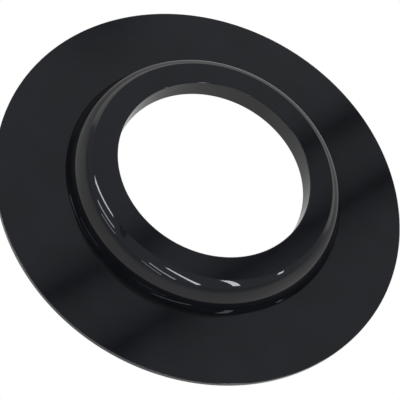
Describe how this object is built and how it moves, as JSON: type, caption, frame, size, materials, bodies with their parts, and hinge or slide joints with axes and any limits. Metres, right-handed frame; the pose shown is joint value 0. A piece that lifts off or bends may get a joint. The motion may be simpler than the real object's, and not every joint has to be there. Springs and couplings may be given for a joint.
{
  "type": "toilet flange",
  "caption": "Round floor flange for a toilet outlet: a hollow raised collar on a thin wide disc, with a rubber pipe seal and floor gasket.",
  "frame": {"origin": "on the axis of the bore, level with the underside of the disc", "axes": "+Z along the bore, up out of the floor towards the toilet; X and Y lie in the floor"},
  "size_m": [0.18, 0.18, 0.0165],
  "materials": {
    "moulded_black": "glossy moulded black",
    "seal_rubber": "matt black rubber",
    "retainer_plastic": "satin dark grey",
    "gasket_rubber": "matt charcoal rubber"
  },
  "bodies": {
    "root": {"flange_shell": "moulded_black", "pipe_seal": "seal_rubber", "seal_retainer": "retainer_plastic", "floor_gasket": "gasket_rubber"}
  },
  "joints": []
}
